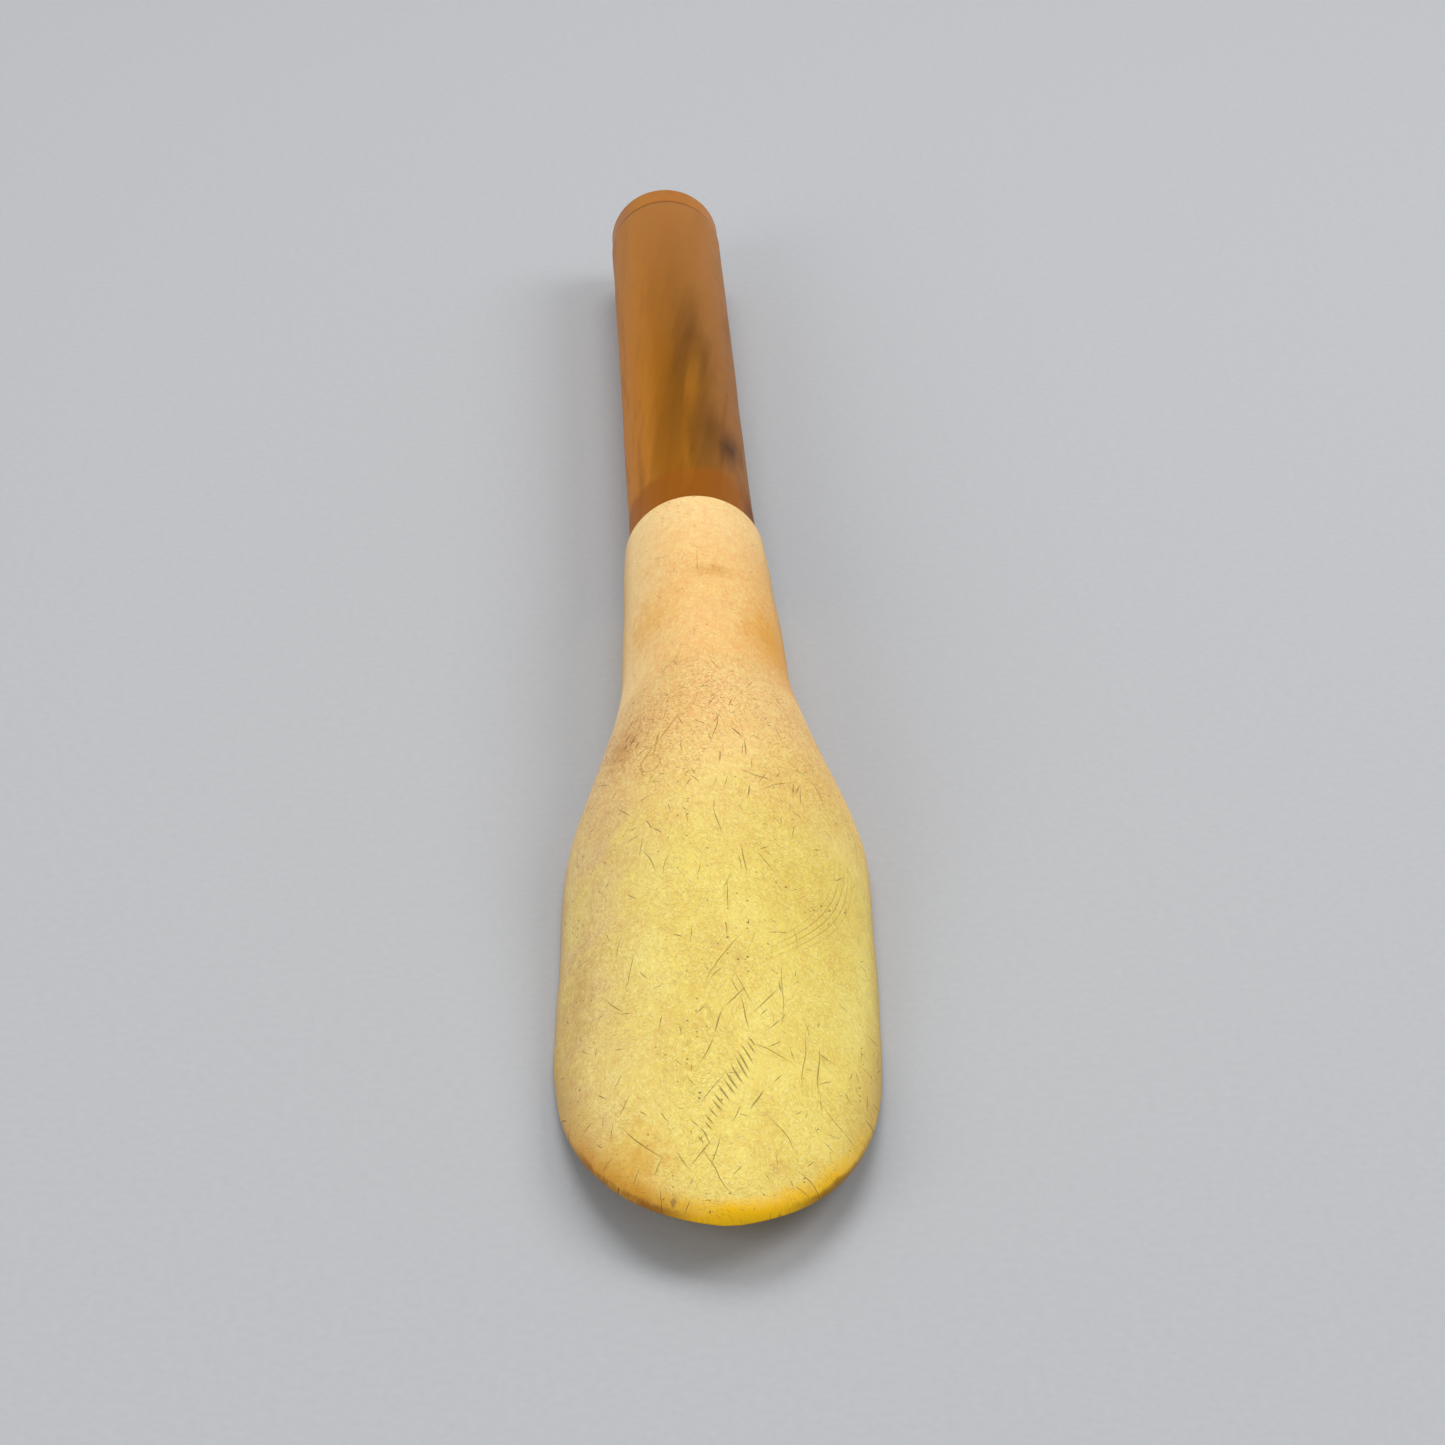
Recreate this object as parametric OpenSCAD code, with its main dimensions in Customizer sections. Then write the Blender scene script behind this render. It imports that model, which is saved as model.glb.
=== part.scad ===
// Shoehorn with a bone blade and a round horn handle.
// The tip points to -Y, the handle to +Y, and the hollow of the blade faces the table.

/* [Blade] */
// Width across the blade
blade_w = 41.4; // [36:0.2:48]
// Length of blade and neck together, from the tip to the collar
blade_l = 166; // [150:1:190]
// Length of the rounded tip
tip_l = 47; // [34:1:56]
// Fullness of the rounded tip, where a higher value is blunter
tip_full = 2.4; // [2:0.1:4]
// Height of the crest over the table at the tip
tip_h = 9; // [7:0.1:12]
// Sideways lean of the tip away from the handle's line
tip_lean = 3.4; // [0:0.1:5]
// How far the tip's point turns back towards the handle's line
tip_skew = 0.9; // [0:0.1:2.5]
// Wall thickness of the blade
wall = 2.4; // [2:0.1:3.2]
// Distance from the tip to where the shoulders start to close in
shoulder_start = 84; // [76:1:90]
// Distance from the tip to where the shoulders end in the neck
shoulder_end = 127; // [120:1:134]

/* [Neck] */
// Diameter of the neck where the shoulders end
neck_d = 24.1; // [22:0.1:27]
// Diameter of the collar at the handle
collar_d = 21.3; // [20.4:0.1:23]
// Rounding of the collar's edge
collar_round = 0.5; // [0.2:0.1:0.8]

/* [Handle] */
// Diameter of the handle
handle_d = 19.2; // [17:0.1:20]
// Length of the handle between the collar and the end cap
handle_l = 122; // [90:1:160]
// Diameter of the handle where it swells to meet the collar
swell_d = 20.2; // [19.4:0.1:20.4]
// Length over which the handle swells
swell_l = 15; // [10:1:25]

/* [End cap] */
// Straight band of the end cap
cap_band = 6; // [2:0.5:8]
// Height of the end cap's dome
cap_dome = 6.5; // [4:0.5:8]
// How much smaller the end cap is than the handle, on the diameter
cap_step = 0.3; // [0.2:0.1:1]
// Diameter of the spigot in the handle
spigot_d = 9; // [7:0.5:11]
// Length of the spigot
spigot_l = 12; // [8:1:20]

/* [Joint] */
// Diameter of the dowel that joins handle and neck
dowel_d = 11; // [9:0.5:12]
// Length of the dowel in the handle
dowel_in_handle = 12; // [10:1:25]
// Length of the dowel in the neck
dowel_in_neck = 26; // [20:1:32]
// Glue gap between a peg and its bore, on the radius
glue_gap = 0.1; // [0.05:0.05:0.2]

/* [Hidden] */

overall_l = blade_l + handle_l + cap_band + cap_dome;
tip_y = -overall_l / 2;
collar_y = tip_y + blade_l;
handle_end_y = collar_y + handle_l;
axis_z = collar_d / 2;
neck_h = collar_d + 0.6;
cap_d = handle_d - cap_step;
dome_r = (pow(cap_d / 2, 2) + pow(cap_dome, 2)) / (2 * cap_dome);

// Where the hollow runs out and where the edges lift off the table into the round neck
scoop_start = shoulder_start - 25;
scoop_end = shoulder_end - 8;
lift_start = shoulder_start + 10;
lift_end = shoulder_end + 12;
lean_l = shoulder_start + 26;

// Segments across the top and the underside, and stations along the tip and the rest
top_n = 22;
low_n = 14;
tip_n = 11;
body_n = 24;
stations = concat(
    [0.01],
    [for (i = [1 : tip_n]) tip_l * pow(i / tip_n, 2.2)],
    [for (i = [1 : body_n]) mix(tip_l, blade_l - collar_round, i / body_n)]
);
$fn = 96;

// The tip leans to one side, so the handle's axis stands beside the middle of the whole
left_reach = max([for (s = stations) full_w(s) * trim(s) / 2 - lean(s)]);
right_reach = max([for (s = stations) full_w(s) * trim(s) / 2 + lean(s)]);
axis_x = (left_reach - right_reach) / 2;
echo(axis_x = axis_x, axis_z = axis_z, collar_y = collar_y, handle_end_y = handle_end_y);

function ease(t) = let (u = max(0, min(1, t))) u * u * (3 - 2 * u);
function mix(a, b, t) = a + (b - a) * t;
function between(s, a, b) = (s - a) / (b - a);

// Shape of the blade at the distance s from the tip
function neck_w(s) = mix(collar_d, neck_d, between(s, blade_l, shoulder_end));
function full_w(s) = mix(blade_w, neck_w(s), ease(between(s, shoulder_start, shoulder_end)));
function trim(s) = s < tip_l ? sqrt(1 - pow(1 - s / tip_l, tip_full)) : 1;
function crest(s) = s < shoulder_end
    ? mix(tip_h, neck_h, ease(s / shoulder_end))
    : mix(neck_h, collar_d, ease(between(s, shoulder_end, blade_l)));
function edge_z(s) = axis_z * ease(between(s, lift_start, lift_end));
function scoop_z(s) = (crest(s) - wall) * (1 - ease(between(s, scoop_start, scoop_end)));
function lip(s) = wall * (1 - ease(between(s, shoulder_start, shoulder_end)));
function lean(s) = tip_skew * pow(max(0, 1 - s / tip_l), 2) - tip_lean * ease(1 - s / lean_l);

// One closed outline across the blade: over the crest, then back along the underside
function section(s, inset) =
    let (
        half = full_w(s) / 2 - inset,
        start = acos(trim(s)),
        top = crest(s) - edge_z(s) - inset,
        low = scoop_z(s) - edge_z(s) + (scoop_z(s) < edge_z(s) ? inset : 0),
        x0 = lean(s),
        z0 = edge_z(s)
    )
    concat(
        [for (i = [0 : top_n])
            let (a = mix(start, 180 - start, i / top_n))
            [x0 + half * cos(a), s, z0 + top * sin(a)]],
        [for (i = [0 : low_n])
            let (a = mix(180 - start, start, (i + 0.5) / (low_n + 1)))
            [x0 + (half - lip(s)) * cos(a), s, z0 + low * sin(a)]]
    );

module blade_solid() {
    rings = concat([for (s = stations) section(s, 0)], [section(blade_l, collar_round)]);
    ring_n = len(rings[0]);
    last = len(rings) - 1;
    walls = [for (r = [0 : last - 1], i = [0 : ring_n - 1])
        let (a = r * ring_n, b = a + ring_n, j = (i + 1) % ring_n)
        each [[a + i, b + i, b + j], [a + i, b + j, a + j]]];
    tip_face = [for (i = [0 : ring_n - 1]) i];
    collar_face = [for (i = [ring_n - 1 : -1 : 0]) last * ring_n + i];
    polyhedron([for (r = rings) each r], concat(walls, [tip_face, collar_face]));
}

// A round bar along +Y, centred on the handle's axis, that can taper to another diameter at its far end
module bar(y, d, l, far_d = 0) {
    translate([axis_x, y, axis_z]) rotate([-90, 0, 0]) cylinder(d1 = d, d2 = far_d > 0 ? far_d : d, h = l);
}

module blade() {
    color("#E3CE8C") difference() {
        translate([axis_x, tip_y, 0]) blade_solid();
        bar(collar_y - dowel_in_neck, dowel_d + 2 * glue_gap, dowel_in_neck + 1);
    }
}

module handle() {
    color("#9C642B") difference() {
        union() {
            bar(collar_y, swell_d, swell_l, handle_d);
            bar(collar_y + swell_l, handle_d, handle_l - swell_l);
        }
        bar(collar_y - 1, dowel_d + 2 * glue_gap, dowel_in_handle + 1);
        bar(handle_end_y - spigot_l, spigot_d + 2 * glue_gap, spigot_l + 1);
    }
}

module joint_dowel() {
    color("#D9B98A") bar(collar_y - dowel_in_neck, dowel_d, dowel_in_neck + dowel_in_handle);
}

module end_cap() {
    color("#B5741F") {
        bar(handle_end_y - spigot_l, spigot_d, spigot_l + 1);
        intersection() {
            bar(handle_end_y, cap_d, cap_band + cap_dome + 1);
            translate([axis_x, -tip_y - dome_r, axis_z]) sphere(r = dome_r);
        }
    }
}

blade();
handle();
joint_dowel();
end_cap();
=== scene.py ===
import math

import bmesh
import bpy
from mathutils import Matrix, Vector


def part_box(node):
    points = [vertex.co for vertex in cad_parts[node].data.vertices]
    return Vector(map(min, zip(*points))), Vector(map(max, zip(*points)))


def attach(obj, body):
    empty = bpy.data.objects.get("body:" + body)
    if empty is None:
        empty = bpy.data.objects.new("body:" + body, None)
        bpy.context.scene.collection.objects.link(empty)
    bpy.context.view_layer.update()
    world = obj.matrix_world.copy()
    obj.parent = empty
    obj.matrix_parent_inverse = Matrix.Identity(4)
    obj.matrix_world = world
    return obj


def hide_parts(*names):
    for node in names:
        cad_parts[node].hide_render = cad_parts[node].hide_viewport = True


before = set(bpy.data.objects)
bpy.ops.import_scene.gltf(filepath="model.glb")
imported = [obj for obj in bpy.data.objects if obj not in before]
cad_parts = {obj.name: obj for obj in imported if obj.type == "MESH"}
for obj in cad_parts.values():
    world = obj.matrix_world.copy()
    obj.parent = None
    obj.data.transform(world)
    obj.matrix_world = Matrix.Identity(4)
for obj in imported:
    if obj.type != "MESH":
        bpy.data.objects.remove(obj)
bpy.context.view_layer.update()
bpy.ops.object.select_all(action="DESELECT")


# Blade, neck and collar: one length of bone, sawn to its outline, hollowed from below
# with a scraper, rounded over at the lip and rubbed smooth by years of heels and hands.
# The collar's end is bored for the dowel that holds the handle.
blade_low, blade_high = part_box("blade")
handle_low, handle_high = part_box("handle")
AXIS_X = (handle_low.x + handle_high.x) / 2
AXIS_Z = (handle_low.z + handle_high.z) / 2
TIP_Y = blade_low.y
COLLAR_Y = blade_high.y
BLADE_L = COLLAR_Y - TIP_Y
# The blade starts 0.4 mm wider than its solid, because the rounding of the mesh draws the lip in
BLADE_W = 0.0418
TIP_L = 0.047
TIP_FULL = 2.4
TIP_H = 0.009
TIP_LEAN = 0.0034
TIP_SKEW = 0.0009
WALL = 0.0024
# Roll of the lip: its width and height, the lip's heights over the table between which it grows,
# and the greatest distance from the lip that the skin keeps
LIP_ROLL_W = 0.0026
LIP_ROLL_H = 0.0021
LIP_ROLL_FROM = 0.0005
LIP_ROLL_FULL = 0.004
LIP_REACH = 0.02
SHOULDER_START = 0.084
SHOULDER_END = 0.127
LIFT_START = SHOULDER_START + 0.010
LIFT_END = SHOULDER_END + 0.012
SCOOP_START = SHOULDER_START - 0.025
SCOOP_END = SHOULDER_END - 0.008
LEAN_L = SHOULDER_START + 0.026
NECK_D = 0.0241
NECK_H = 0.0219
COLLAR_D = 2 * AXIS_Z
COLLAR_ROUND = 0.0004
BORE_D = 0.0112
BORE_L = 0.026
OVERCUT = 0.001

# Mesh: points over the top and along the underside of each ring, how far those on top crowd
# towards the lip, and rings at the collar, along the blade and round the tip
TOP_N = 40
LOW_N = 22
TOP_CROWDING = 0.12
COLLAR_STEPS = (COLLAR_ROUND, 0.0009, 0.002)
BODY_RINGS = 42
TIP_RINGS = 20
TIP_FIRST = 0.00001


def mix(a, b, t):
    return a + (b - a) * t


def ease(s, start, end):
    t = max(0.0, min(1.0, (s - start) / (end - start)))
    return t * t * (3 - 2 * t)


def blade_ring(s, inset=0.0):
    """Outline across the blade at s from the tip, as (x, z, arc from the crest, distance from the lip).

    The lip is rolled over where it stands free of the table, which is round the tip.
    """
    neck_w = mix(COLLAR_D, NECK_D, (s - BLADE_L) / (SHOULDER_END - BLADE_L))
    closing = ease(s, SHOULDER_START, SHOULDER_END)
    half = mix(BLADE_W, neck_w, closing) / 2 - inset
    if s < SHOULDER_END:
        crest = mix(TIP_H, NECK_H, ease(s, 0, SHOULDER_END))
    else:
        crest = mix(NECK_H, COLLAR_D, ease(s, SHOULDER_END, BLADE_L))
    edge = AXIS_Z * ease(s, LIFT_START, LIFT_END)
    scoop = (crest - WALL) * (1 - ease(s, SCOOP_START, SCOOP_END))
    lip = WALL * (1 - closing)
    low = scoop - edge + (inset if scoop < edge else 0)
    lean = TIP_SKEW * max(0.0, 1 - s / TIP_L) ** 2 - TIP_LEAN * (1 - ease(s, 0, LEAN_L))
    width_kept = math.sqrt(1 - (1 - s / TIP_L) ** TIP_FULL) if s < TIP_L else 1.0
    start = math.acos(width_kept)
    points = []
    for i in range(TOP_N + 1):
        t = i / TOP_N
        a = mix(start, math.pi - start, t - TOP_CROWDING * math.sin(2 * math.pi * t))
        x = AXIS_X + lean + half * math.cos(a)
        points.append((x, edge + (crest - edge - inset) * math.sin(a), a))
    for i in range(LOW_N + 1):
        a = mix(math.pi - start, start, (i + 0.5) / (LOW_N + 1))
        x = AXIS_X + lean + (half - lip) * math.cos(a)
        points.append((x, edge + low * math.sin(a), a))
    arcs = [0.0]
    for (x0, z0, _), (x1, z1, _) in zip(points, points[1:]):
        arcs.append(arcs[-1] + math.hypot(x1 - x0, z1 - z0))
    lip_h = crest * math.sin(start)
    free_lip = LIP_ROLL_H * ease(lip_h, LIP_ROLL_FROM, LIP_ROLL_FULL)
    ring = []
    for i, (x, z, a) in enumerate(points):
        if i <= TOP_N:
            across = min(arcs[i], arcs[TOP_N] - arcs[i])
        else:
            across = min(arcs[i] - arcs[TOP_N + 1], arcs[-1] - arcs[i])
        ahead = s - TIP_L * (1 - (1 - math.cos(a) ** 2) ** (1 / TIP_FULL))
        from_lip = across * ahead / max(1e-6, math.hypot(across, ahead)) if ahead > 0 else 0.0
        if i <= TOP_N and from_lip < LIP_ROLL_W:
            z -= free_lip * (1 - math.sqrt(1 - (1 - from_lip / LIP_ROLL_W) ** 2))
        ring.append((x, z, arcs[TOP_N // 2] - arcs[i], min(LIP_REACH, from_lip)))
    return ring


stations = [BLADE_L - step for step in COLLAR_STEPS]
stations += [mix(BLADE_L - COLLAR_STEPS[-1], TIP_L, i / BODY_RINGS) for i in range(1, BODY_RINGS + 1)]
stations += [TIP_L * (1 - i / TIP_RINGS) ** 2 for i in range(1, TIP_RINGS)] + [TIP_FIRST]

bpy.ops.mesh.primitive_circle_add(vertices=TOP_N + LOW_N + 2, radius=COLLAR_D / 2, fill_type="NGON")
blade = bpy.context.object
blade.name = "bone_blade"
bpy.ops.object.mode_set(mode="EDIT")
for s in [BLADE_L] + stations:
    if s < BLADE_L:
        bpy.ops.mesh.extrude_region_move(TRANSFORM_OT_translate={"value": (0, 0, -0.001)})
    shell = bmesh.from_edit_mesh(blade.data)
    skin = shell.verts.layers.float_vector.get("skin") or shell.verts.layers.float_vector.new("skin")
    ring = [v for v in shell.verts if v.select]
    for vert, (x, z, arc, from_lip) in zip(ring, blade_ring(s, COLLAR_ROUND if s == BLADE_L else 0.0)):
        vert.co = (x, TIP_Y + s, z)
        vert[skin] = (arc * 1000, s * 1000, from_lip * 1000)
    bmesh.update_edit_mesh(blade.data)
bpy.ops.mesh.select_all(action="SELECT")
bpy.ops.mesh.normals_make_consistent(inside=False)
bpy.ops.object.mode_set(mode="OBJECT")

rounding = blade.modifiers.new("lip_and_skin", "SUBSURF")
rounding.levels = rounding.render_levels = 2
bpy.ops.object.modifier_apply(modifier="lip_and_skin")


def make_uneven(piece, name, wave_l, depth, group):
    """Displaces a piece by soft waves, as hand work leaves it, where its vertex group says."""
    clouds = bpy.data.textures.new(name, "CLOUDS")
    clouds.noise_scale = wave_l
    clouds.noise_depth = 1
    waves = piece.modifiers.new(name, "DISPLACE")
    waves.texture = clouds
    waves.texture_coords = "LOCAL"
    waves.strength = depth
    waves.vertex_group = group
    bpy.ops.object.modifier_apply(modifier=name)


# The scraper left the surface a little uneven, except on the square collar end
scraped = blade.vertex_groups.new(name="scraped")
for vert in blade.data.vertices:
    scraped.add([vert.index], 1 - ease(vert.co.y - TIP_Y, BLADE_L - 0.012, BLADE_L - 0.001), "REPLACE")
make_uneven(blade, "scraper_unevenness", wave_l=0.014, depth=0.0004, group="scraped")


def add_rod(y_from, y_to, radius, sides):
    """Adds a round rod along the handle's axis."""
    bpy.ops.object.select_all(action="DESELECT")
    bpy.ops.mesh.primitive_cylinder_add(
        vertices=sides, radius=radius, depth=y_to - y_from,
        location=(AXIS_X, (y_from + y_to) / 2, AXIS_Z), rotation=(math.pi / 2, 0, 0))
    return bpy.context.object


def bore(piece, y_from, y_to, diameter):
    """Drills a round hole along the handle's axis into a piece."""
    drill = add_rod(y_from, y_to, diameter / 2, sides=64)
    bpy.ops.object.select_all(action="DESELECT")
    piece.select_set(True)
    bpy.context.view_layer.objects.active = piece
    hole = piece.modifiers.new("bore", "BOOLEAN")
    hole.operation = "DIFFERENCE"
    hole.object = drill
    bpy.ops.object.modifier_apply(modifier="bore")
    bpy.data.objects.remove(drill)


bore(blade, COLLAR_Y - BORE_L, COLLAR_Y + OVERCUT, BORE_D)
bpy.ops.object.shade_smooth_by_angle(angle=math.radians(50))


def linear(hex_colour):
    """sRGB hex to linear RGBA."""
    parts = [int(hex_colour[i:i + 2], 16) / 255 for i in (1, 3, 5)]
    return tuple(c / 12.92 if c <= 0.04045 else ((c + 0.055) / 1.055) ** 2.4 for c in parts) + (1.0,)


def feed(tree, node, values):
    """Sets or links inputs of a node by their names or numbers."""
    for name, value in values.items():
        if isinstance(value, bpy.types.NodeSocket):
            tree.links.new(value, node.inputs[name])
        else:
            node.inputs[name].default_value = value


def add(tree, kind, values=None, **settings):
    """Adds a node, sets its options, and feeds its inputs."""
    made = tree.nodes.new(kind)
    for name, setting in settings.items():
        setattr(made, name, setting)
    feed(tree, made, values or {})
    return made


def set_stops(ramp, stops):
    """Sets the stops of a colour ramp, of which it has two at first."""
    for i, (position, colour) in enumerate(stops):
        point = ramp.elements[i] if i < 2 else ramp.elements.new(position)
        point.position = position
        point.color = linear(colour)


def new_material(name):
    """An empty material with its shader, and the shader's tree."""
    material = bpy.data.materials.new(name)
    material.use_nodes = True
    return material, material.node_tree, material.node_tree.nodes["Principled BSDF"]


# Scraped bone: waxy cream that yellows in clouds, felted all over with hair-fine scratches and painted
# glints, pricked with dark pores, browner and more worn over the shoulders, and amber at the thin lip as
# a painted glow of light through it.
# All its sizes are in mm, and its clouds and scratches are drawn out along the bone.
bone, tree, shader = new_material("scraped_bone")
on_skin = add(tree, "ShaderNodeAttribute", attribute_name="skin").outputs["Vector"]
across, along, from_lip = add(tree, "ShaderNodeSeparateXYZ", {0: on_skin}).outputs
place = add(tree, "ShaderNodeTexCoord").outputs["Object"]
in_mm = add(tree, "ShaderNodeMapping", {"Vector": place, "Scale": (1000, 520, 1000)}).outputs[0]
lengthwise = add(tree, "ShaderNodeMapping", {"Vector": on_skin, "Scale": (1, 0.58, 1)}).outputs[0]
drift = add(tree, "ShaderNodeTexNoise", {"Vector": on_skin, "Scale": 0.09, "Detail": 1},
            noise_dimensions="2D")
drifted = add(tree, "ShaderNodeVectorMath", {0: drift.outputs["Color"], 1: (2.5, 2.5, 0), 2: lengthwise},
              operation="MULTIPLY_ADD").outputs[0]


def hairlines(spacing, length, width, share, shift, lie=0.0, spread=2 * math.pi, stretch=1.0):
    """Mask of straight cuts that taper at both ends, one to a cell, spread round a lie; sizes in mm.

    Cells stretched along the lie hold close parallel cuts without breaking them.
    """
    moved = add(tree, "ShaderNodeVectorMath", {0: drifted, 1: (shift, 1.7 * shift, 0)}).outputs[0]
    laid = add(tree, "ShaderNodeMapping", {"Vector": moved, "Rotation": (0, 0, lie),
                                           "Scale": (stretch, 1, 1)}, vector_type="TEXTURE").outputs[0]
    cell = add(tree, "ShaderNodeTexVoronoi", {"Vector": laid, "Scale": 1 / spacing},
               voronoi_dimensions="2D")
    dice = add(tree, "ShaderNodeSeparateColor", {0: cell.outputs["Color"]}).outputs
    offset = add(tree, "ShaderNodeVectorMath", {0: laid, 1: cell.outputs["Position"]},
                 operation="SUBTRACT").outputs[0]
    offset = add(tree, "ShaderNodeVectorMath", {0: offset, 1: (stretch, 1, 1)},
                 operation="MULTIPLY").outputs[0]
    angle = add(tree, "ShaderNodeMath", {0: dice[0], 1: spread, 2: -spread / 2},
                operation="MULTIPLY_ADD").outputs[0]
    turned = add(tree, "ShaderNodeVectorRotate", {"Vector": offset, "Angle": angle},
                 rotation_type="Z_AXIS")
    parts = add(tree, "ShaderNodeSeparateXYZ", {0: turned.outputs[0]}).outputs
    reach = add(tree, "ShaderNodeMath", {0: dice[1], 1: length / 3, 2: length / 6},
                operation="MULTIPLY_ADD").outputs[0]
    out = add(tree, "ShaderNodeMath", {0: parts[0], 1: reach}, operation="DIVIDE").outputs[0]
    squared = add(tree, "ShaderNodeMath", {0: out, 1: out}, operation="MULTIPLY").outputs[0]
    beside = add(tree, "ShaderNodeMath", {0: parts[1]}, operation="ABSOLUTE").outputs[0]
    taper = add(tree, "ShaderNodeMath", {0: squared, 1: width / 2, 2: beside},
                operation="MULTIPLY_ADD").outputs[0]
    line = add(tree, "ShaderNodeMapRange", {"Value": taper, "From Min": width / 2,
                                            "From Max": width / 6}).outputs[0]
    chosen = add(tree, "ShaderNodeMath", {0: dice[2], 1: share}, operation="LESS_THAN").outputs[0]
    return add(tree, "ShaderNodeMath", {0: line, 1: chosen}, operation="MULTIPLY").outputs[0]


# Felt of rubbing marks: sheaves of close strokes in three directions, with looser ones over them,
# a few curled ones, and pale ones that are painted glints of light. The real ones are finer than drawn
# here.
sheaves = add(tree, "ShaderNodeSeparateColor", {0: drift.outputs["Color"]}).outputs
felt = hairlines(0.8, 1.3, 0.11, 0.35, 17, lie=-0.6, spread=2.5)
for sheaf, lie, stretch, shift in ((0, -0.3, 4.0, 3), (1, -0.95, 4.0, 29), (2, 0.65, 3.0, 43)):
    strokes = hairlines(0.27, 0.27 * stretch, 0.11, 0.7, shift, lie=lie, spread=0.35, stretch=stretch)
    here = add(tree, "ShaderNodeMapRange", {"Value": sheaves[sheaf], "From Min": 0.4,
                                            "From Max": 0.55}).outputs[0]
    strokes = add(tree, "ShaderNodeMath", {0: strokes, 1: here}, operation="MULTIPLY").outputs[0]
    felt = add(tree, "ShaderNodeMath", {0: felt, 1: strokes}, operation="MAXIMUM").outputs[0]
curls = add(tree, "ShaderNodeTexNoise", {"Vector": lengthwise, "Scale": 0.4, "Detail": 1,
                                         "Distortion": 1.0}, noise_dimensions="2D").outputs["Fac"]
curl_gap = add(tree, "ShaderNodeMath", {0: curls, 1: 0.62}, operation="SUBTRACT").outputs[0]
curl_gap = add(tree, "ShaderNodeMath", {0: curl_gap}, operation="ABSOLUTE").outputs[0]
curl = add(tree, "ShaderNodeMapRange", {"Value": curl_gap, "From Min": 0.012, "From Max": 0.002,
                                        "To Max": 0.8})
felt = add(tree, "ShaderNodeMath", {0: felt, 1: curl.outputs[0]}, operation="MAXIMUM").outputs[0]
# Pale strokes: painted glints of light on the scratches
glints = hairlines(0.6, 1.1, 0.15, 0.75, 71)
wander = add(tree, "ShaderNodeTexNoise", {"Vector": on_skin, "Scale": 0.12, "Detail": 0},
             noise_dimensions="2D")
wavering = add(tree, "ShaderNodeVectorMath", {0: wander.outputs["Color"], 1: (1.0, 1.0, 0), 2: on_skin},
               operation="MULTIPLY_ADD").outputs[0]
wavering = add(tree, "ShaderNodeVectorMath", {0: wavering, 1: (0.5, 0.5, 0)},
               operation="SUBTRACT").outputs[0]


def stroke(plane, x0, y0, x1, y1):
    """Distance from the line between two points on a plane, and how far along it, from 0 to 1."""
    run = (x1 - x0, y1 - y0, 0)
    squared = run[0] ** 2 + run[1] ** 2
    flat = add(tree, "ShaderNodeVectorMath", {0: plane, 1: (1, 1, 0), 2: (-x0, -y0, 0)},
               operation="MULTIPLY_ADD").outputs[0]
    share = add(tree, "ShaderNodeVectorMath", {0: flat, 1: (run[0] / squared, run[1] / squared, 0)},
                operation="DOT_PRODUCT").outputs["Value"]
    held = add(tree, "ShaderNodeClamp", {0: share}).outputs[0]
    nearest = add(tree, "ShaderNodeVectorMath", {0: run, "Scale": held}, operation="SCALE").outputs[0]
    return add(tree, "ShaderNodeVectorMath", {0: flat, 1: nearest},
               operation="DISTANCE").outputs["Value"], held


# Sharper single cuts: the long ones that use has left near the tip and over the shoulders, each from
# one point to another as (across, from the tip, across, from the tip, width), and a scatter of small ones
LONG_CUTS = [
    (3.5, 43, 0.5, 38.5, 0.17), (0.5, 38.5, -0.5, 33.5, 0.17), (-0.5, 33.5, -2.5, 28, 0.13),
    (1.5, 44.5, 2.5, 41, 0.11), (2.5, 41, 4, 34, 0.15), (7.5, 42.5, 4, 37.5, 0.16),
    (8, 44.5, 8, 42, 0.2), (8.5, 49, 8, 36, 0.1), (11, 36.5, 10, 23.5, 0.1), (12.5, 34, 12, 23.5, 0.17),
    (5, 23.5, 3, 19, 0.22), (-1.5, 14, -4.5, 8.5, 0.16), (0.5, 26.5, -2.5, 20.5, 0.1),
    (-12.5, 19, -7.5, 10.5, 0.18), (-0.5, 14.5, -2, 8, 0.11), (-0.5, 78.5, 0.5, 73, 0.14),
    (3, 71, 4, 64.5, 0.16), (1, 63.5, 1.5, 57.5, 0.13), (0.5, 91, 0.5, 87.5, 0.18),
    (4.5, 84, 4, 80.5, 0.2), (-8.5, 111.5, -4, 115.5, 0.1), (2, 96.5, 4, 94, 0.24), (4, 94, 4, 90, 0.2),
    (8.5, 100, 10, 95, 0.12), (5.5, 82.5, 11, 86.5, 0.12), (11, 87, 10.5, 82.5, 0.15),
    (12, 87, 11, 83.5, 0.15), (12, 86, 11.5, 81.5, 0.14), (-11.5, 83, -8.5, 83.5, 0.15),
    (-13.5, 100.5, -12.5, 102, 0.45), (-12.5, 98.5, -11.5, 100, 0.5), (-11.5, 96.5, -11, 98, 0.35),
    (-13.5, 98.5, -13, 99.5, 0.5), (-13, 104, -12.5, 105, 0.45),
]

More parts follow.
